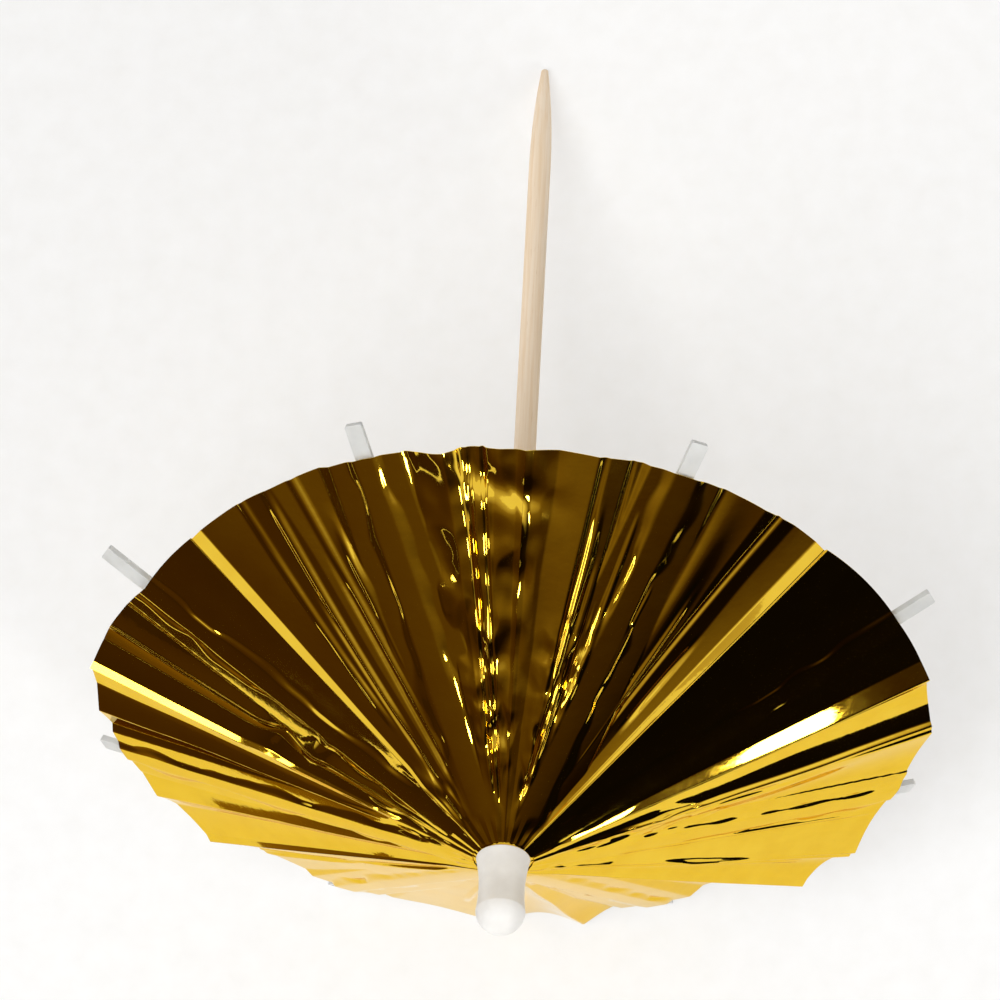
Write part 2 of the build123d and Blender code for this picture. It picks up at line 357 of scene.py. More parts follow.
@dataclass(frozen=True)
class BirchWood:
    """Turned and sanded birch: pale cream, with fine straight grain, darker flecks and a dry surface."""

    stick_turn: float
    name: str = "sanded_birch"
    pale: str = "#FFEBD2"
    grain: str = "#F6DBB8"
    fleck: str = "#DDB98E"
    grain_width: float = 0.35
    grain_length: float = 14.0
    fleck_width: float = 0.12
    fleck_length: float = 2.2
    grain_height: float = 0.04

    def material(self) -> bpy.types.Material:
        """Build the wood's node material, with its grain along the stick.

        Returns:
            The material.
        """
        material, tree = new_material(self.name)
        along = along_stick(tree, self.stick_turn)
        layers = []
        for width, length in ((self.grain_width, self.grain_length), (self.fleck_width, self.fleck_length)):
            scaled = add_node(
                tree,
                "ShaderNodeMapping",
                {"Vector": along, "Scale": (1 / (width * MM), 1 / (width * MM), 1 / (length * MM))},
            )
            layer = add_node(
                tree,
                "ShaderNodeTexNoise",
                {"Vector": scaled.outputs["Vector"], "Scale": 1.0, "Detail": 3.0, "Roughness": 0.6},
            )
            layers.append(layer.outputs["Fac"])
        body = colour_ramp(tree, layers[0], [(0.35, self.grain), (0.62, self.pale)])
        fleck_share = add_node(
            tree,
            "ShaderNodeMapRange",
            {"Value": layers[1], "From Min": 0.64, "From Max": 0.76, "To Min": 0.0, "To Max": 0.55},
        )
        colour = add_node(
            tree,
            "ShaderNodeMix",
            {"Factor": fleck_share.outputs["Result"], 6: body, 7: linear(self.fleck)},
            data_type="RGBA",
        )
        bump = add_node(
            tree,
            "ShaderNodeBump",
            {"Height": layers[0], "Strength": 0.5, "Distance": self.grain_height * MM},
        )
        shader = add_node(
            tree,
            "ShaderNodeBsdfPrincipled",
            {
                "Base Color": colour.outputs[2],
                "Roughness": 0.62,
                "Normal": bump.outputs["Normal"],
                "Specular IOR Level": 0.35,
            },
        )
        add_node(tree, "ShaderNodeOutputMaterial", {"Surface": shader.outputs["BSDF"]})
        return material


@dataclass(frozen=True)
class MouldedPolypropylene:
    """Moulded polypropylene: milky, slightly waxy, with soft flow marks and a fine sparked texture."""

    name: str
    pale: str
    shade: str
    roughness: float = 0.42
    gloss_swing: float = 0.08
    flow_size: float = 2.5
    grit_size: float = 0.25
    grit_height: float = 0.01
    glow: float = 0.25
    glow_depth: float = 0.6
    clear: float = 0.0

    def material(self) -> bpy.types.Material:
        """Build the plastic's node material.

        Returns:
            The material.
        """
        material, tree = new_material(self.name)
        place = add_node(tree, "ShaderNodeTexCoord").outputs["Object"]
        flow = add_node(
            tree,
            "ShaderNodeTexNoise",
            {"Vector": place, "Scale": 1 / (self.flow_size * MM), "Detail": 3.0, "Roughness": 0.5},
        )
        grit = add_node(
            tree,
            "ShaderNodeTexNoise",
            {"Vector": place, "Scale": 1 / (self.grit_size * MM), "Detail": 2.0, "Roughness": 0.6},
        )
        bump = add_node(
            tree,
            "ShaderNodeBump",
            {"Height": grit.outputs["Fac"], "Strength": 0.5, "Distance": self.grit_height * MM},
        )
        gloss = add_node(
            tree,
            "ShaderNodeMapRange",
            {
                "Value": flow.outputs["Fac"],
                "To Min": self.roughness - self.gloss_swing,
                "To Max": self.roughness + self.gloss_swing,
            },
        )
        shader = add_node(
            tree,
            "ShaderNodeBsdfPrincipled",
            {
                "Base Color": colour_ramp(tree, flow.outputs["Fac"], [(0.3, self.shade), (0.7, self.pale)]),
                "Roughness": gloss.outputs["Result"],
                "IOR": 1.49,
                "Transmission Weight": self.clear,
                "Subsurface Weight": self.glow,
                "Subsurface Radius": (1.0, 0.95, 0.85),
                "Subsurface Scale": self.glow_depth * MM,
                "Normal": bump.outputs["Normal"],
            },
        )
        add_node(tree, "ShaderNodeOutputMaterial", {"Surface": shader.outputs["BSDF"]})
        return material


@dataclass(frozen=True)
class RolledPaper:
    """Plain paper strip rolled round the stick: dull, fibrous, with the edge of each turn showing."""

    stick_turn: float
    name: str = "rolled_paper"
    pale: str = "#E6DDCB"
    fibre: str = "#CFC3AC"
    fibre_size: float = 0.4
    turn_width: float = 2.4
    turn_height: float = 0.05

    def material(self) -> bpy.types.Material:
        """Build the paper's node material.

        Returns:
            The material.
        """
        material, tree = new_material(self.name)
        place = add_node(tree, "ShaderNodeTexCoord").outputs["Object"]
        along = along_stick(tree, self.stick_turn)
        fibre = add_node(
            tree,
            "ShaderNodeTexNoise",
            {"Vector": place, "Scale": 1 / (self.fibre_size * MM), "Detail": 4.0, "Roughness": 0.65},
        )
        turns = add_node(
            tree,
            "ShaderNodeTexWave",
            {"Vector": along, "Scale": math.tau / 20 / (self.turn_width * MM), "Distortion": 0.6},
            wave_type="BANDS",
            bands_direction="Z",
            wave_profile="SAW",
        )
        height = add_node(
            tree,
            "ShaderNodeMath",
            {0: fibre.outputs["Fac"], 1: turns.outputs["Fac"]},
            operation="ADD",
        )
        bump = add_node(
            tree,
            "ShaderNodeBump",
            {"Height": height.outputs["Value"], "Strength": 0.6, "Distance": self.turn_height * MM},
        )
        tone = colour_ramp(tree, fibre.outputs["Fac"], [(0.3, self.fibre), (0.65, self.pale)])
        shader = add_node(
            tree,
            "ShaderNodeBsdfPrincipled",
            {
                "Base Color": tone,
                "Roughness": 0.85,
                "Specular IOR Level": 0.25,
                "Normal": bump.outputs["Normal"],
            },
        )
        add_node(tree, "ShaderNodeOutputMaterial", {"Surface": shader.outputs["BSDF"]})
        return material


@dataclass(frozen=True)
class Lie:
    """How the film of a half gore lies between a rib and the main fold beside it.

    Attributes:
        pleats: Number of facets across it.
        depth: Height of the pleats at the rim.
        hollow: How far each facet sags at the rim.
        lean: How far the valleys lean to one side, from -1 to 1.
        creases: Number of narrow creases pressed into it.
        billow: How far it may bulge or sag as a whole.
    """

    pleats: int
    depth: float
    hollow: float = 0.0
    lean: float = 0.0
    creases: int = 0
    billow: float = 0.3


class Pleating(Enum):
    """The lies that the film takes."""

    FLAT = Lie(pleats=1, depth=0.0, billow=0.1)
    PRESSED = Lie(pleats=4, depth=0.75, creases=6, billow=0.4)
    CREASED = Lie(pleats=4, depth=0.95, hollow=0.06, creases=1)
    LAYERED = Lie(pleats=4, depth=1.0, hollow=0.1, lean=-0.7)
    SLACK = Lie(pleats=2, depth=0.9, hollow=0.25, lean=-0.5, creases=2, billow=0.6)
    SCALLOPED = Lie(pleats=1, depth=0.0, hollow=1.6, creases=3, billow=0.1)
    POINTED = Lie(pleats=2, depth=-2.3, hollow=0.9, creases=3, billow=0.1)


@dataclass(frozen=True)
class Ridge:
    """A main fold of the film between two ribs.

    Attributes:
        lift: How far it lifts the facets beside it, at the rim.
        rise: Height of the narrow ridge along it, at the rim.
        half_width: Half width of that ridge, at the rim.
        shift: How far it lies off the middle between the ribs, in degrees.
    """

    lift: float
    rise: float
    half_width: float = 0.8
    shift: float = 0.0


@dataclass(frozen=True)
class Dent:
    """A local buckle of the film.

    Attributes:
        angle: Direction about the stick, in degrees.
        radius: Distance from the stick's axis.
        length: Half length along its run.
        width: Half width across its run.
        depth: Height of the buckle, negative inwards.
        turn: Angle of its run from the rib's direction, in degrees.
    """

    angle: float
    radius: float
    length: float
    width: float
    depth: float
    turn: float = 0.0

    def height(self, angles: np.ndarray, radii: np.ndarray) -> np.ndarray:
        """Height that the dent gives the film.

        Args:
            angles: Directions about the stick, in radians.
            radii: Distances from the stick's axis.

        Returns:
            Heights over the pleats.
        """
        out = radii - self.radius
        side = half_turns(angles - math.radians(self.angle)) * self.radius
        turn = math.radians(self.turn)
        run = out * math.cos(turn) + side * math.sin(turn)
        cross = side * math.cos(turn) - out * math.sin(turn)
        return self.depth * np.exp(-((run / self.length) ** 2) - (cross / self.width) ** 2)


@dataclass(frozen=True)
class Ripple:
    """A field of smooth noise on the film.

    Attributes:
        wide: Size of its waves round the canopy.
        long: Size of its waves along the ribs.
        layer: Number that tells one field from another.
    """

    wide: float
    long: float
    layer: int


@dataclass(frozen=True)
class Crumple:
    """A patch of crumpled film.

    Attributes:
        angle: Direction of its middle about the stick, in degrees.
        spread: Half of the angle that it covers, in degrees.
        inner: Distance from the stick's axis where it starts.
        outer: Distance where it ends.
        rise: Height of its crumples.
        size: Size of its coarse crumples.
        inner_fade: How far its start fades to both sides.
        outer_fade: How far its end fades inwards and outwards.
        stretch: Length of the coarse crumples along the ribs, in sizes.
        fine_wide: Size of the fine crumples round the canopy, in sizes.
        fine_long: Size of the fine crumples along the ribs, in sizes.
        wave: Height of the coarse crumples' waves, in rises.
        crest: Height of their sharp crests, in rises.
        fall: How steeply these fall to both sides.
        fine: Height of the fine crumples, in rises.
    """

    angle: float
    spread: float
    inner: float
    outer: float
    rise: float
    size: float
    inner_fade: float = 2.0
    outer_fade: tuple[float, float] = (3.0, 2.0)
    stretch: float = 1.4
    fine_wide: float = 0.5
    fine_long: float = 0.625
    wave: float = 1.3
    crest: float = 0.6
    fall: float = 1.2
    fine: float = 0.35

    def ripples(self, layer: int) -> tuple[Ripple, Ripple]:
        """Noise of the coarse and the fine crumples.

        Args:
            layer: Number of the patch's own noise.

        Returns:
            The coarse and the fine ripple.
        """
        coarse = Ripple(self.size, self.size * self.stretch, layer)
        fine = Ripple(self.size * self.fine_wide, self.size * self.fine_long, layer + FINE_LAYER)
        return coarse, fine

    def share(self, angles: np.ndarray, radii: np.ndarray) -> np.ndarray:
        """How far the patch takes hold of the film.

        Args:
            angles: Directions about the stick, in radians.
            radii: Distances from the stick's axis.

        Returns:
            Shares from 0 to 1.
        """
        away = np.degrees(half_turns(angles - math.radians(self.angle)))
        starts = smooth_step(self.inner - self.inner_fade, self.inner + self.inner_fade, radii)
        ends = smooth_step(self.outer - self.outer_fade[0], self.outer + self.outer_fade[1], radii)
        return np.exp(-((away / self.spread) ** 4)) * starts * (1 - ends)

    def height(self, coarse: np.ndarray, fine: np.ndarray) -> np.ndarray:
        """Height of the crumples where the patch has full hold.

        Args:
            coarse: Noise of the coarse crumples.
            fine: Noise of the fine ones.

        Returns:
            Heights over the pleats.
        """
        return self.rise * (self.wave * coarse + self.crest - self.fall * np.abs(coarse) + self.fine * fine)


@dataclass(frozen=True)
class Draws:
    """Spans of the random draws that keep pleats and creases from being alike.

    Attributes:
        fold_shift: Move of a fold, in pleats.
        fold_depth: Depth of a fold, as a share of the pleats' depth.
        sag: Sag of a facet, as a share of the facets' hollow.
        bulge: Bulge of a half gore, as a share of its billow.
        crease_place: Place of a crease, as a share of the half gore.
        crease_drift: Turn of a crease along its run, in radians.
        crease_start: Distance from the stick's axis where a crease starts.
        crease_end: Distance where it ends.
        crease_height: Height of a crease, as a share of the usual one.
        crease_sign: Whether a crease stands up or is pressed in.
        crease_width: Width of a crease, as a share of the usual one.
    """

    fold_shift: tuple[float, float] = (-0.2, 0.2)
    fold_depth: tuple[float, float] = (0.55, 1.3)
    sag: tuple[float, float] = (0.7, 1.3)
    bulge: tuple[float, float] = (-1.2, 0.8)
    crease_place: tuple[float, float] = (0.1, 0.9)
    crease_drift: tuple[float, float] = (-0.06, 0.06)
    crease_start: tuple[float, float] = (5.0, 18.0)
    crease_end: tuple[float, float] = (28.0, 50.0)
    crease_height: tuple[float, float] = (0.5, 1.3)
    crease_sign: tuple[float, float, float] = (1.0, 1.0, -1.0)
    crease_width: tuple[float, float] = (0.6, 1.2)


@dataclass
class Canopy:
    """The film canopy: one pleated sheet, held at its crown by the cap and glued along the ribs.

    It is divided into the crown, a band along each rib, and a flap on each side of every band. Heights are
    square to the cone of the film. A start is a pair of distances from the stick's axis, where something
    begins and where it is full.
    """

    axes: UmbrellaAxes
    rim_radius: float
    draws: Draws = Draws()
    seed: int = 7
    # The film, and how far its cone stands over the ribs' pivots
    film_thickness: float = 0.06
    film_offset: float = 1.66
    # The crown, which sinks under the gores where these start
    hole_radius: float = 1.45
    crown_radius: float = 4.8
    crown_height: float = 2.14
    crown_sink: float = 0.1
    sink_reach: float = 0.15
    gore_start: float = 3.0
    # Points of the meshes, reach of cuts and welds, and the sharpest bend that is shaded smooth
    columns: int = 201
    rows: int = 150
    crown_columns: int = 320
    crown_rows: int = 12
    cut_reach: float = 0.0001
    weld_reach: float = 0.001
    smooth_angle: float = 50.0
    # How far valleys and peaks depart from the facets, lean of the valleys, and wander of folds in radians
    valley: float = -0.65
    peak: float = 0.35
    lean_reach: float = 0.8
    pleat_wander: float = 0.012
    wander_rise: float = 6.0
    # Narrow ridges along the main folds, lower away from one distance
    ridge_swell: float = 0.25
    ridge_middle: float = 29.0
    ridge_length: float = 7.5
    # The film on the ribs, and the uneven bend beside them
    rib_half_width: float = 0.95
    rib_start: tuple[float, float] = (4.0, 6.0)
    bend_width: float = 1.1
    bend_swing: float = 1.6
    bend_limits: tuple[float, float] = (0.4, 2.6)
    # Shoulders where the film drops beside the ribs
    shoulder_length: float = 2.2
    shoulder_start: tuple[float, float] = (4.0, 9.0)
    slack_swing: float = 0.9
    # The lowest that the film may lie near a rib, and how fast it may fall farther off
    rib_guard: float = 0.3
    guard_reach: float = 3.7
    guard_slope: float = 0.5
    # Creases, narrower towards the crown, and the growth at which a half gore's bulge stops changing
    crease_height: float = 0.24
    crease_half_width: float = 0.55
    crease_inner_width: float = 0.45
    crease_middle: float = 0.6
    crease_rise: float = 5.0
    crease_fade: float = 6.0
    bulge_limits: tuple[float, float] = (0.1, 1.1)
    # Long buckles, the least share of a crumple that counts, and where all unevenness starts
    buckle_height: float = 0.06
    buckle_start: tuple[float, float] = (4.0, 20.0)
    least_crumple: float = 0.01
    uneven_start: tuple[float, float] = (2.9, 4.5)
    # Bands, and the share to which flaps would gather, leaving a gap, judged where they are wide
    band_half_width: float = 1.9
    closed_gap: float = 0.12
    wide_flap: float = 3.0
    gather_limits: tuple[float, float] = (0.02, 1.0)
    # Each flap's film before pleating, as it is cut
    flat_width: float = 15.5
    flat_length: float = 41.0
    flat_area: float = 310.0

    # Noise that moves folds, bends the film beside the ribs, slackens shoulders and buckles the gores
    wander_ripple = Ripple(9.0, 11.0, 3)
    bend_ripple = Ripple(6.0, 4.0, 7)
    slack_ripple = Ripple(6.0, 7.0, 5)
    buckle_ripple = Ripple(4.5, 22.0, 1)
    # How far the film drops beside each rib
    rib_shoulders = (0.03, 0.22, 0.22, 0.22, 0.22, 0.22, 0.22, 0.22)
    # Half gores from straight right, upwards and round
    lie = (
        Pleating.FLAT, Pleating.FLAT, Pleating.PRESSED, Pleating.PRESSED,
        Pleating.PRESSED, Pleating.PRESSED, Pleating.FLAT, Pleating.CREASED,
        Pleating.CREASED, Pleating.LAYERED, Pleating.SLACK, Pleating.SLACK,
        Pleating.POINTED, Pleating.SCALLOPED, Pleating.POINTED, Pleating.POINTED,
    )
    # Main folds between the ribs, from straight right and round
    ridges = (
        Ridge(0.7, 0.98, 2.4, 10.0),
        Ridge(0.35, 0.95, shift=-1.0),
        Ridge(0.2, 0.19),
        Ridge(0.35, 0.95, shift=7.0),
        Ridge(0.4, 0.37),
        Ridge(0.7, 0.31),
        Ridge(0.8, 0.25),
        Ridge(2.2, 0.19),
    )
    # How far the rim stands out between and over the ribs, from straight right and round
    rim_trim = (0.0, -0.8, -0.8, -0.3, -0.3, -0.3, -1.0, -1.8, 0.2, 0.3, 0.0, 0.0, 0.0, 0.0, 0.5, 0.7)
    dents = (
        Dent(169, 22.5, 3.4, 1.5, -0.75, 70),
        Dent(165, 19.0, 2.4, 1.1, 0.45, 80),
        Dent(138, 10.0, 1.4, 0.9, 0.25, 20),
        Dent(59, 31.0, 9.0, 1.4, 0.6, 3),
        Dent(120, 30.0, 4.0, 0.8, 0.45, 5),
        Dent(102, 40.5, 3.0, 2.0, 0.7, 25),
        Dent(93, 37.0, 4.5, 1.5, -0.5, 75),
        Dent(97, 22.5, 1.6, 0.9, 0.35, 15),
        Dent(352, 27.0, 6.0, 1.2, 0.25, 6),
    )
    crumples = (
        Crumple(72, 11, 8.0, 24.0, 0.3, 2.0),
        Crumple(100, 11, 9.0, 18.0, 0.27, 2.1),
        Crumple(97, 10, 18.0, 43.0, 0.45, 3.6),
        Crumple(137, 14, 5.0, 12.0, 0.16, 1.9),
        Crumple(350, 10, 7.0, 21.0, 0.18, 2.2),
        Crumple(186, 22, 5.0, 13.0, 0.13, 2.0),
    )

    def fold_lines(self, rng: np.random.Generator) -> tuple[np.ndarray, np.ndarray, np.ndarray]:
        """Lay out the pleats round the canopy.

        Args:
            rng: Source of the pleats' unevenness.

        Returns:
            Angles of the folds in radians, their heights at the rim, and the sag of the facet after each.
        """
        span = math.tau / len(self.lie)
        angles, heights, sags = [], [], []
        for index, pleating in enumerate(self.lie):
            lie = pleating.value
            first, last = self.main_lift(index), self.main_lift(index + 1)
            for step in range(lie.pleats):
                share = step / lie.pleats
                height = first + (last - first) * share
                if step:
                    valley = step % 2 == 1
                    lean = self.lean_reach * lie.lean if valley else 0.0
                    departs = self.valley if valley else self.peak
                    share += (rng.uniform(*self.draws.fold_shift) + lean) / lie.pleats
                    height += lie.depth * rng.uniform(*self.draws.fold_depth) * departs
                angles.append(span * (index + share))
                heights.append(height)
                sags.append(lie.hollow * rng.uniform(*self.draws.sag))
        return np.array(angles), np.array(heights), np.array(sags)

    def fold_places(self) -> np.ndarray:
        """Find the main folds between and over the ribs.

        Returns:
            Their directions about the stick, once round from straight right, in radians.
        """
        turns = np.linspace(0, 360, len(self.lie) + 1)
        for number in range(0, len(turns), 2):
            turns[number] += self.ridges[number // 2 % len(self.ridges)].shift
        return np.radians(turns)

    def main_lift(self, index: int) -> float:
        """Height at the rim of a main fold, which is 0 over a rib.

        Args:
            index: Number of the main fold, even between ribs and odd over them.

        Returns:
            Its height.
        """
        return 0.0 if index % 2 else self.ridges[index // 2 % len(self.ridges)].lift

    def pleats(self, angles: np.ndarray, rng: np.random.Generator) -> np.ndarray:
        """Height of the pleats at the rim.

        Args:
            angles: Directions about the stick, in radians.
            rng: Source of the pleats' unevenness.

        Returns:
            Heights over the flat facets between the main folds.
        """
        folds, heights, sags = self.fold_lines(rng)
        folds = np.append(folds, math.tau)
        heights = np.append(heights, heights[0])
        turned = np.mod(angles, math.tau)
        index = np.clip(np.searchsorted(folds, turned, side="right") - 1, 0, len(folds) - 2)
        share = (turned - folds[index]) / (folds[index + 1] - folds[index])
        straight = heights[index] + (heights[index + 1] - heights[index]) * share
        return straight - sags[index] * np.sin(np.pi * share)

    def creases(self, angles: np.ndarray, radii: np.ndarray, rng: np.random.Generator) -> np.ndarray:
        """Narrow creases along the gores, and the slow bulge of each half gore.

        Args:
            angles: Directions about the stick, in radians.
            radii: Distances from the stick's axis.
            rng: Source of their places and sizes.

        Returns:
            Heights over the pleats.
        """
        span = math.tau / len(self.lie)
        growth = radii / self.rim_radius
        bulges = np.sin(np.pi * np.clip(growth, *self.bulge_limits))
        taper = self.crease_inner_width + (1 - self.crease_inner_width) * growth
        turned = np.mod(angles, math.tau)
        total = np.zeros_like(angles)
        draws = self.draws
        for index, pleating in enumerate(self.lie):
            lie = pleating.value
            share = np.clip(turned / span - index, 0, 1)
            total += lie.billow * rng.uniform(*draws.bulge) * np.sin(np.pi * share) * bulges
            for _ in range(lie.creases):
                middle = span * (index + rng.uniform(*draws.crease_place))
                drift = rng.uniform(*draws.crease_drift) * (growth - self.crease_middle)
                starts = rng.uniform(*draws.crease_start)
                ends = rng.uniform(*draws.crease_end)
                height = self.crease_height * rng.uniform(*draws.crease_height)
                height *= rng.choice(draws.crease_sign)
                width = self.crease_half_width * rng.uniform(*draws.crease_width) * taper
                away = half_turns(angles - middle - drift) * radii
                ridge = np.clip(1 - (away / width) ** 2, 0, 1) ** 2
                ridge *= smooth_step(starts, starts + self.crease_rise, radii)
                total += height * ridge * (1 - smooth_step(ends - self.crease_fade, ends, radii))
        return total

    def ridge_height(self, angles: np.ndarray, radii: np.ndarray) -> np.ndarray:
        """Height of the narrow ridges along the main folds.

        Args:
            angles: Directions about the stick, in radians.
            radii: Distances from the stick's axis.

        Returns:
            Heights over the pleats.
        """
        off_middle = (radii - self.ridge_middle) / self.ridge_length
        swell = 1 - self.ridge_swell * (1 - np.exp(-(off_middle**2)))
        total = np.zeros_like(angles)
        for fold, place in zip(self.ridges, self.fold_places()[::2]):
            away = np.abs(half_turns(angles - place)) * self.rim_radius
            total += fold.rise * np.clip(1 - away / fold.half_width, 0, 1)
        return total * swell * radii / self.rim_radius

    def beside_ribs(self, angles: np.ndarray, radii: np.ndarray) -> tuple[np.ndarray, np.ndarray]:
        """Find the nearest rib.

        Args:
            angles: Directions about the stick, in radians.
            radii: Distances from the stick's axis.

        Returns:
            Distances from the middle of the nearest rib, and the film's drop beside that rib.
        """
        beside = np.full_like(angles, np.inf)
        drop = np.zeros_like(angles)
        for rib_angle, shoulder in zip(self.axes.rib_angles, self.rib_shoulders):
            away = np.abs(half_turns(angles - rib_angle))
            distance = np.sin(np.minimum(away, math.pi / 2)) * radii
            drop = np.where(distance < beside, shoulder, drop)
            beside = np.minimum(beside, distance)
        return beside, drop

    def film_height(self, angles: np.ndarray, radii: np.ndarray) -> np.ndarray:
        """Height of the film over the smooth cone.

        Args:
            angles: Directions about the stick, in radians.
            radii: Distances from the stick's axis.

        Returns:
            Heights square to the cone.
        """
        rng = np.random.default_rng(self.seed)
        places = self.fold_places()
        turned = places[0] + np.mod(angles - places[0], math.tau)
        index = np.clip(np.searchsorted(places, turned, side="right") - 1, 0, len(self.lie) - 1)
        width = places[index + 1] - places[index]
        share = (turned - places[index]) / width
        laid = math.tau / len(self.lie) * (index + share)
        bow = np.cos(width * (share - 0.5)) / np.cos(width / 2) - 1
        facets = -radii * math.cos(self.axes.half_angle) * bow

        off_fold = np.clip(np.minimum(share, 1 - share) * self.wander_rise, 0, 1)
        wander = self.noise_field(angles, radii, self.wander_ripple) * self.pleat_wander * off_fold
        pleats = self.pleats(laid + wander, rng) * radii / self.rim_radius

        beside, drop = self.beside_ribs(angles, radii)
        bend = self.bend_width + self.bend_swing * self.noise_field(angles, radii, self.bend_ripple)
        off_rib = smooth_step(0, np.clip(bend, *self.bend_limits), beside - self.rib_half_width)
        slack = 1 + self.slack_swing * self.noise_field(angles, radii, self.slack_ripple)
        fall = np.exp(-(beside - self.rib_half_width) / self.shoulder_length)
        shoulder = -drop * slack * off_rib * fall * smooth_step(*self.shoulder_start, radii)

        uneven = self.creases(laid, radii, rng) + self.buckles(angles, radii)
        for dent in self.dents:
            uneven += dent.height(angles, radii)
        uneven *= smooth_step(*self.uneven_start, radii)
        shape = facets + pleats + self.ridge_height(angles, radii) + shoulder + uneven
        guard = -self.rib_guard - self.guard_slope * np.maximum(beside - self.guard_reach, 0)
        on_rib = (1 - off_rib) * smooth_step(*self.rib_start, radii)
        return np.maximum(shape, guard) * (1 - on_rib)

    def noise_field(self, angles: np.ndarray, radii: np.ndarray, ripple: Ripple) -> np.ndarray:
        """Smooth noise laid out on the film.

        Args:
            angles: Directions about the stick, in radians.
            radii: Distances from the stick's axis.
            ripple: Sizes of its waves.

        Returns:
            Noise of about -1 to 1.
        """
        outward = radii / ripple.long + self.rim_radius * (1 / ripple.wide - 1 / ripple.long)
        x = np.cos(angles) * outward
        y = np.sin(angles) * outward
        depth = ripple.layer * LAYER_STEP
        flat = [noise.noise(Vector((a, b, depth))) for a, b in zip(x.ravel(), y.ravel())]
        return np.array(flat).reshape(angles.shape)

    def buckles(self, angles: np.ndarray, radii: np.ndarray) -> np.ndarray:
        """Waves that the film keeps from being folded: long buckles and crumpled patches.

        Args:
            angles: Directions about the stick, in radians.
            radii: Distances from the stick's axis.

        Returns:
            Heights over the pleats.
        """
        total = self.buckle_height * self.noise_field(angles, radii, self.buckle_ripple)
        total *= smooth_step(*self.buckle_start, radii)
        for layer, patch in enumerate(self.crumples, start=CRUMPLE_LAYER):
            share = patch.share(angles, radii)
            inside = share > self.least_crumple
            if not inside.any():
                continue
            spots = angles[inside], radii[inside]
            waves = [self.noise_field(*spots, ripple) for ripple in patch.ripples(layer)]
            total[inside] += share[inside] * patch.height(*waves)
        return total

    def film_points(
        self, turns: np.ndarray, start: float, stop: float | None, rows: int, sink: float = 0.0
    ) -> np.ndarray:
        """Points of a part of the film.

        Args:
            turns: Directions about the stick, in radians.
            start: Distance from the stick's axis where the part starts.
            stop: Distance where it ends, or None for the film's rim.
            rows: Number of points from start to stop.
            sink: How far the part lies under the gores.

        Returns:
            Grid of points in the row frame, rows from the crown outwards.
        """
        angles, shares = np.meshgrid(turns, np.linspace(0, 1, rows))
        main_folds = np.linspace(0, math.tau, len(self.rim_trim) + 1)
        trim = np.interp(np.mod(angles, math.tau), main_folds, self.rim_trim + self.rim_trim[:1])
        ends = self.rim_radius + trim if stop is None else np.full_like(angles, stop)
        radii = start + (ends - start) * shares
        under = smooth_step(self.gore_start - self.sink_reach, self.gore_start, radii)
        height = self.film_height(angles, radii) - sink * under
        slope = self.axes.half_angle
        apex = self.axes.pivot_radius / math.tan(slope) + self.film_offset / math.sin(slope)
        out = radii + height * math.cos(slope)
        level = np.minimum(apex - radii / math.tan(slope) + height * math.sin(slope), self.crown_height)
        local = np.stack([out * np.cos(angles), out * np.sin(angles), level], axis=-1)
        return self.axes.to_world(local.reshape(-1, 3)).reshape(local.shape)

    def build_film(
        self, name: str, grid: np.ndarray, cuts: list[tuple[Vector, Vector]]
    ) -> bpy.types.Object:
        """Model a part of the film from its points.

        Args:
            name: The part's name.
            grid: Grid of its points in the row frame.
            cuts: A point and a direction for each straight cut, beyond which the film is another part.

        Returns:
            The part's object.
        """
        part = grid_object(name, grid)
        bpy.ops.object.select_all(action="DESELECT")
        part.select_set(True)
        bpy.context.view_layer.objects.active = part
        bpy.ops.object.mode_set(mode="EDIT")
        for point, beyond in cuts:
            bpy.ops.mesh.select_all(action="SELECT")
            bpy.ops.mesh.bisect(
                plane_co=point, plane_no=beyond, clear_outer=True, threshold=self.cut_reach * MM
            )
        bpy.ops.object.mode_set(mode="OBJECT")
        thicken = part.modifiers.new("film thickness", "SOLIDIFY")
        thicken.thickness = self.film_thickness * MM
        thicken.offset = 0.0
        bpy.ops.object.modifier_apply(modifier=thicken.name)
        bpy.ops.object.shade_smooth_by_angle(angle=math.radians(self.smooth_angle))
        return part

    def build_crown(self, finish: bpy.types.Material) -> bpy.types.Object:
        """Model the middle of the film, which the cap holds down on the hub.

        Args:
            finish: The film's material.

        Returns:
            The middle's object.
        """
        turns = np.linspace(0, math.tau, self.crown_columns + 1)
        grid = self.film_points(
            turns, self.hole_radius, self.crown_radius, self.crown_rows, self.crown_sink
        )
        crown = self.build_film("film_crown", grid, [])
        bpy.ops.object.mode_set(mode="EDIT")
        bpy.ops.mesh.select_all(action="SELECT")
        bpy.ops.mesh.remove_doubles(threshold=self.weld_reach * MM)
        bpy.ops.object.mode_set(mode="OBJECT")
        crown.data.materials.append(finish)
        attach(crown, "root")
        return crown

    def dress(self, part: bpy.types.Object, number: int, finish: bpy.types.Material) -> None:
        """Give a part of a gore its finish and tie it to its rib.

        Args:
            part: The part's object.
            number: Number of the rib that carries it.
            finish: The film's material.
        """
        part.data.materials.append(finish)
        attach(part, f"rib_{number}")
        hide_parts(f"canopy_gore_{number}")

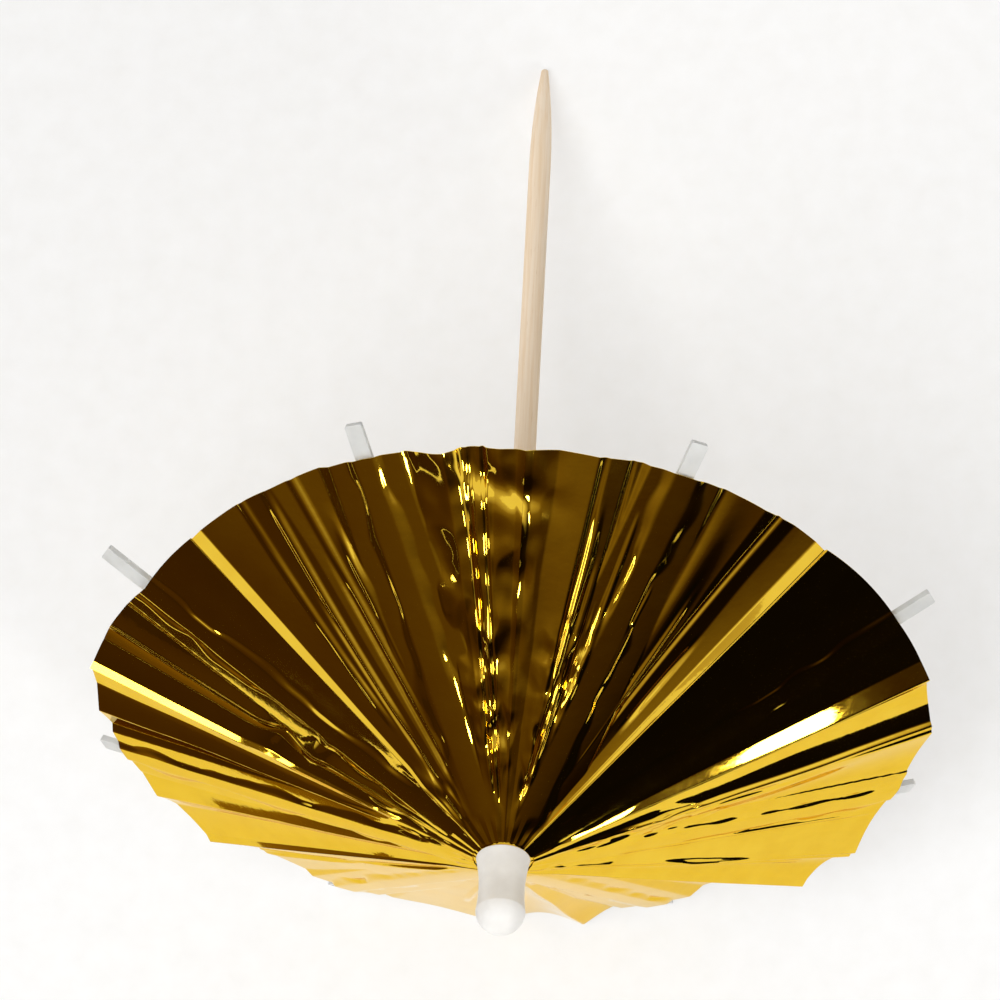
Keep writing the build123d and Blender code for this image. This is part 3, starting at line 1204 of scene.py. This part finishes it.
    def gathered_share(self, edge: np.ndarray, rib_angle: float) -> float:
        """Share of a flap's width that fits between its band and the next flap when the ribs are closed.

        Args:
            edge: Points of the flap's outer edge in the row frame.
            rib_angle: Direction of its rib, in radians.

        Returns:
            The share.
        """
        tangent = self.axes.tangent(rib_angle)
        outward = tangent.cross(self.axes.crown)
        from_hub = (edge - np.array(self.axes.origin)) / MM
        wide = np.abs(from_hub @ np.array(tangent)) - self.band_half_width
        out = from_hub @ np.array(outward) - self.axes.pivot_radius
        up = from_hub @ np.array(self.axes.crown)
        fold = self.axes.half_angle - self.axes.closed_angle
        closed_radius = self.axes.pivot_radius + out * math.cos(fold) + up * math.sin(fold)
        room = closed_radius * math.tan(math.pi / len(self.axes.rib_angles))
        spare = room - self.closed_gap - self.band_half_width
        flap = wide > self.wide_flap
        return float(np.clip(np.min(spare[flap] / wide[flap]), *self.gather_limits))

    def build_gore(
        self, number: int, rib_angle: float, finish: bpy.types.Material
    ) -> list[bpy.types.Object]:
        """Model a gore as a band glued along its rib and a flap on each side, and log the share to which
        each flap would gather as it folds.

        Args:
            number: Number of the rib that carries it.
            rib_angle: Direction of that rib, in radians.
            finish: The film's material.

        Returns:
            The objects of the band and the two flaps.
        """
        half = math.pi / len(self.axes.rib_angles)
        turns = rib_angle + np.linspace(-half, half, self.columns)
        grid = self.film_points(turns, self.gore_start, None, self.rows)
        sides = {"a": self.axes.tangent(rib_angle), "b": -self.axes.tangent(rib_angle)}
        reach = self.band_half_width * MM
        edges = {letter: self.axes.origin + side * reach for letter, side in sides.items()}
        cuts = [(edges[letter], sides[letter]) for letter in sides]
        band = self.build_film(f"film_band_{number}", grid, cuts)
        self.dress(band, number, finish)
        parts = [band]
        for letter, side in sides.items():
            flap = self.build_film(f"film_flap_{number}{letter}", grid, [(edges[letter], -side)])
            self.dress(flap, number, finish)
            share = self.gathered_share(grid[:, -1 if letter == "a" else 0], rib_angle)
            LOG.info("%s gathers to %.3f of its width", flap.name, share)
            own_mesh(flap)
            parts.append(flap)
        return parts

    def build(self, finish: bpy.types.Material) -> list[bpy.types.Object]:
        """Model and dress the whole film.

        Args:
            finish: The film's material.

        Returns:
            The objects of its parts.
        """
        parts = [self.build_crown(finish)]
        for number, rib_angle in enumerate(self.axes.rib_angles, start=1):
            parts += self.build_gore(number, rib_angle, finish)
        for part in parts:
            area = sum(face.area for face in part.data.polygons) / 2 / MM**2
            LOG.info("%s: %d faces, %.0f mm2 of film", part.name, len(part.data.polygons), area)
        return parts


@dataclass
class SolidPieces:
    """Pieces whose solids have the right shape, with the finish that each gets."""

    nodes: dict[str, bpy.types.Object]

    def dress(self, names: list[str], finish: bpy.types.Material, slot: str) -> None:
        """Give pieces a finish.

        Args:
            names: Names of the pieces.
            finish: Material for them.
            slot: The record's material slot of these pieces. It is not used.
        """
        for name in names:
            piece = self.nodes[name]
            piece.data.materials.clear()
            piece.data.materials.append(finish)
            LOG.info("%s: %s", name, finish.name)


# Painted shade of a glowing card that the film mirrors: dark at the table and pale at its top
SHADED = [(0.0, "#301E04"), (0.4, "#614C24"), (1.0, "#CFC4AC")]


@dataclass(frozen=True)
class Flag:
    """A curved card round the object, glowing with painted shade and light, that only the film's reflections
    see.

    Attributes:
        name: The card's name.
        azimuths: Where it starts and ends, in degrees from the front towards the right.
        elevations: Where it starts and ends, in degrees up from the object.
        radius: Its distance from the object.
        edge: Colour that its outer edges fade to.
        fade: Width of that fade, in degrees.
        left: Colours of its left part, from its lower to its upper edge.
        right: Colours of its right part, or None where they are the same.
    """

    name: str
    azimuths: tuple[float, float]
    elevations: tuple[float, float]
    radius: float
    edge: str
    fade: float
    left: list[tuple[float, str]]
    right: list[tuple[float, str]] | None = None


@dataclass(frozen=True)
class SoftBox:
    """A soft light that faces the object.

    Attributes:
        name: The light's name.
        place: Where it hangs.
        size: Its width and height.
        power: Its power in watts.
        mirrored: Whether reflections show it.
    """

    name: str
    place: tuple[float, float, float]
    size: tuple[float, float]
    power: float
    mirrored: bool = True


@dataclass
class Studio:
    """Pale table, soft lights, glowing cards with painted shade that the film mirrors, and the camera above.

    Lengths are metres, apart from the camera's aim, frame and sensor, which are millimetres.
    """

    # Table, a hair under the object, which glows to the eye and less to mirrors, and turns white far off
    floor_half: float = 3.0
    floor_drop: float = 0.0002
    floor_fibre: float = 0.0025
    floor_colour: str = "#F7F6F4"
    surround_colour: str = "#FFFFFF"
    floor_glow: float = 0.55
    mirror_glow: float = 0.25
    floor_fade: tuple[float, float] = (0.2, 0.9)
    ambient: float = 0.42
    # Camera, its angles in degrees
    camera_elevation: float = 83.65
    camera_roll: float = 3.1
    camera_distance: float = 1.25
    camera_clip: tuple[float, float] = (0.01, 20.0)
    sensor_width: float = 36.0
    frame_width: float = 98.4
    aim: tuple[float, float, float] = (-2.2, -2.2, 36.8)
    # Height that the lights face and the cards stand round, and the azimuths where left colours become right
    light_height: float = 0.03
    flag_centre: float = 0.045
    flag_turn: tuple[float, float] = (-18.0, 12.0)
    flag_columns: int = 49
    flag_rows: int = 25

    # Glowing cards whose painted dark and pale colours give the film its painted reflections
    flags = (
        Flag(
            "dark_tent",
            (-66, 66),
            (-3, 55),
            1.2,
            "#E6DECB",
            14,
            [(0.0, "#3A2608"), (0.3, "#4B3410"), (0.55, "#604B1F"), (0.8, "#8F7B4F"), (1.0, "#D8CFBB")],
            [(0.0, "#0B0703"), (0.25, "#1A1006"), (0.5, "#443110"), (0.8, "#806E43"), (1.0, "#D8CFBB")],
        ),
        Flag("left_card", (-116, -84), (-2, 48), 1.2, "#CFC4AC", 8, SHADED),
        Flag("right_card", (84, 116), (-2, 48), 1.2, "#CFC4AC", 8, SHADED),
        Flag("back_left_card", (-172, -138), (-2, 58), 1.2, "#CFC4AC", 8, SHADED),
        Flag("back_right_card", (138, 172), (-2, 58), 1.2, "#CFC4AC", 8, SHADED),
        Flag(
            "low_flag_right",
            (14, 64),
            (-16, 4),
            0.16,
            "#0B0906",
            1,
            [(0.0, "#120D08"), (1.0, "#0B0906")],
        ),
        Flag(
            "low_flag_left",
            (-64, -14),
            (-16, 4),
            0.16,
            "#36240A",
            1,
            [(0.0, "#412B0A"), (1.0, "#36240A")],
        ),
        # Low glowing card, painted brown and dark, that the lower left gores mirror as a painted reflection
        Flag(
            "left_low_card",
            (-76, -26),
            (-33, -13),
            0.08,
            "#8A6C2C",
            3,
            [(0.0, "#8A6C2C"), (0.5, "#4B3410"), (1.0, "#412B0A")],
        ),
    )
    lights = (
        SoftBox("overhead_box", (-0.30, -0.20, 0.85), (0.5, 0.5), 4.5, mirrored=False),
        SoftBox("left_strip", (-0.44, -0.34, 0.30), (0.06, 0.16), 0.25),
        SoftBox("right_strip", (0.305, -0.378, 0.36), (0.10, 0.10), 0.9),
    )

    def build_floor(self) -> None:
        """Lay the table top, which looks white and still takes the object's shadow."""
        bpy.ops.object.select_all(action="DESELECT")
        bpy.ops.mesh.primitive_plane_add(size=2 * self.floor_half, location=(0, 0, -self.floor_drop))
        floor = bpy.context.active_object
        floor.name = "table_top"
        material, tree = new_material("white_card")
        place = add_node(tree, "ShaderNodeTexCoord").outputs["Object"]
        fibre = add_node(
            tree, "ShaderNodeTexNoise", {"Vector": place, "Scale": 1 / self.floor_fibre, "Detail": 3.0}
        )
        tones = [(0.0, self.floor_colour), (1.0, self.surround_colour)]
        tone = colour_ramp(tree, fibre.outputs["Fac"], tones)
        shader = add_node(
            tree,
            "ShaderNodeBsdfPrincipled",
            {"Base Color": tone, "Roughness": 0.9, "Specular IOR Level": 0.1},
        )
        glow = add_node(tree, "ShaderNodeEmission", {"Color": tone, "Strength": 1.0})
        away = add_node(tree, "ShaderNodeVectorMath", {0: place}, operation="LENGTH")
        path = add_node(tree, "ShaderNodeLightPath")
        around = add_node(
            tree,
            "ShaderNodeMapRange",
            {"Value": path.outputs["Is Camera Ray"], "To Min": self.mirror_glow, "To Max": self.floor_glow},
        )
        near, far = self.floor_fade
        fade = add_node(
            tree,
            "ShaderNodeMapRange",
            {
                "Value": away.outputs["Value"],
                "From Min": near,
                "From Max": far,
                "To Min": around.outputs["Result"],
                "To Max": 1.0,
            },
        )
        share = add_node(
            tree, "ShaderNodeMath", {0: self.seen(tree), 1: fade.outputs["Result"]}, operation="MULTIPLY"
        )
        surface = add_node(
            tree,
            "ShaderNodeMixShader",
            {0: share.outputs["Value"], 1: shader.outputs["BSDF"], 2: glow.outputs["Emission"]},
        )
        add_node(tree, "ShaderNodeOutputMaterial", {"Surface": surface.outputs["Shader"]})
        floor.data.materials.append(material)

    def seen(self, tree: bpy.types.NodeTree) -> bpy.types.NodeSocket:
        """Tell rays that show a surface from rays that only carry its light.

        Args:
            tree: Node tree of a material or the world.

        Returns:
            Socket that is 1 for camera, glossy and transmission rays, and 0 for the others.
        """
        path = add_node(tree, "ShaderNodeLightPath")
        total = path.outputs["Is Camera Ray"]
        for kind in ("Is Glossy Ray", "Is Transmission Ray"):
            total = add_node(
                tree, "ShaderNodeMath", {0: total, 1: path.outputs[kind]}, operation="MAXIMUM"
            ).outputs["Value"]
        return total

    def flag_finish(self, card: Flag) -> bpy.types.Material:
        """Build the material of a card: a glow in its painted colours, which paints the film's reflections
        and stays the same whatever light falls on it.

        Args:
            card: The card's shape and colours.

        Returns:
            The felt's material.
        """
        material, tree = new_material(f"{card.name}_painted_glow")
        shares = {
            name: add_node(tree, "ShaderNodeAttribute", attribute_name=name).outputs["Fac"]
            for name in ("rise", "turn", "edge")
        }
        sides = add_node(
            tree,
            "ShaderNodeMix",
            {
                "Factor": shares["turn"],
                6: colour_ramp(tree, shares["rise"], card.left),
                7: colour_ramp(tree, shares["rise"], card.right or card.left),
            },
            data_type="RGBA",
        )
        colour = add_node(
            tree,
            "ShaderNodeMix",
            {"Factor": shares["edge"], 6: sides.outputs[2], 7: linear(card.edge)},
            data_type="RGBA",
        )
        # Painted reflection: the card glows in its painted colours and lights nothing
        glow = add_node(tree, "ShaderNodeEmission", {"Color": colour.outputs[2], "Strength": 1.0})
        add_node(tree, "ShaderNodeOutputMaterial", {"Surface": glow.outputs["Emission"]})
        return material

    def build_flag(self, card: Flag) -> None:
        """Stand a curved card round the object.

        Args:
            card: The card's shape and colours.
        """
        start, end = card.azimuths
        low, high = card.elevations
        turns, rises = np.meshgrid(
            np.linspace(start, end, self.flag_columns), np.linspace(0, 1, self.flag_rows)
        )
        side = np.radians(turns)
        height = np.radians(low + (high - low) * rises)
        x = np.sin(side) * np.cos(height) * card.radius
        y = -np.cos(side) * np.cos(height) * card.radius
        z = np.sin(height) * card.radius + self.flag_centre
        flag = grid_object(card.name, np.stack([x, y, z], axis=-1))
        shares = {
            "rise": rises,
            "turn": smooth_step(*self.flag_turn, turns),
            "edge": 1 - smooth_step(0, card.fade, np.minimum(turns - start, end - turns)),
        }
        for name, values in shares.items():
            attribute = flag.data.attributes.new(name, "FLOAT", "POINT")
            attribute.data.foreach_set("value", values.ravel().tolist())
        flag.data.materials.append(self.flag_finish(card))
        flag.visible_camera = False
        flag.visible_diffuse = False
        flag.visible_shadow = False
        flag.visible_transmission = False

    def add_light(self, box: SoftBox) -> None:
        """Hang a soft box that faces the object.

        Args:
            box: The light's place, size and power.
        """
        data = bpy.data.lights.new(box.name, "AREA")
        data.shape = "RECTANGLE"
        data.size, data.size_y = box.size
        data.energy = box.power
        light = bpy.data.objects.new(box.name, data)
        bpy.context.scene.collection.objects.link(light)
        light.location = box.place
        light.visible_glossy = box.mirrored
        light.rotation_mode = "QUATERNION"
        facing = Vector((0, 0, self.light_height)) - Vector(box.place)
        light.rotation_quaternion = facing.to_track_quat("-Z", "Y")

    def build_world(self) -> None:
        """Surround the table with pale, even light."""
        world = bpy.data.worlds.new("studio")
        bpy.context.scene.world = world
        world.use_nodes = True
        tree = world.node_tree
        tree.nodes.clear()
        strength = add_node(
            tree, "ShaderNodeMapRange", {"Value": self.seen(tree), "To Min": self.ambient, "To Max": 1.0}
        )
        backdrop = add_node(
            tree,
            "ShaderNodeBackground",
            {"Color": linear(self.surround_colour), "Strength": strength.outputs["Result"]},
        )
        add_node(tree, "ShaderNodeOutputWorld", {"Surface": backdrop.outputs["Background"]})

    def build_camera(self) -> None:
        """Set the camera nearly straight above the table."""
        data = bpy.data.cameras.new("camera")
        camera = bpy.data.objects.new("camera", data)
        bpy.context.scene.collection.objects.link(camera)
        tilt = math.radians(self.camera_elevation)
        back = Vector((0, -math.cos(tilt), math.sin(tilt)))
        camera.location = Vector(self.aim) * MM + back * self.camera_distance
        upright = (-back).to_track_quat("-Z", "Y").to_matrix()
        rolled = upright @ Matrix.Rotation(math.radians(self.camera_roll), 3, "Z")
        camera.rotation_mode = "QUATERNION"
        camera.rotation_quaternion = rolled.to_quaternion()
        data.sensor_width = self.sensor_width
        data.lens = self.sensor_width * self.camera_distance / (self.frame_width * MM)
        data.clip_start, data.clip_end = self.camera_clip
        bpy.context.scene.camera = camera

    def build(self) -> None:
        """Set up the whole studio."""
        bpy.context.scene.view_settings.view_transform = "Standard"
        self.build_floor()
        for card in self.flags:
            self.build_flag(card)
        for box in self.lights:
            self.add_light(box)
        self.build_world()
        self.build_camera()


def main() -> None:
    """Build the umbrella's looks in order and report each piece."""
    logging.basicConfig(level=logging.INFO, format="%(name)s: %(message)s")
    axes = UmbrellaAxes.from_joints(frame["joints"])
    numbers = range(1, len(axes.rib_angles) + 1)
    rim_radius = max(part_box(f"canopy_gore_{number}")[1].x for number in numbers) / MM
    stick_turn = math.atan2(axes.crown.y, axes.crown.z)

    pieces = SolidPieces(frame["nodes"])
    pieces.dress(["pick"], BirchWood(stick_turn).material(), "birch")
    white = MouldedPolypropylene("white_polypropylene", "#F1EFEB", "#E6E3DE")
    pieces.dress(["crown_cap"], white.material(), "cap_plastic")
    fittings = MouldedPolypropylene("white_polypropylene_fittings", "#EAE7DF", "#DCD8CE", roughness=0.5)
    pieces.dress(["crown_hub", "runner", "retaining_ring"], fittings.material(), "hub_plastic")
    pieces.dress(["spacer_sleeve"], RolledPaper(stick_turn).material(), "sleeve_paper")
    natural = MouldedPolypropylene("natural_polypropylene", "#E9E9E6", "#DADAD7", roughness=0.35, clear=0.3)
    strips = [f"rib_{number}" for number in numbers] + [f"strut_{number}" for number in numbers]
    pieces.dress(strips, natural.material(), "rib_plastic")

    Canopy(axes, rim_radius).build(GoldFilm().material())
    Studio().build()


if __name__ == "__main__":
    main()
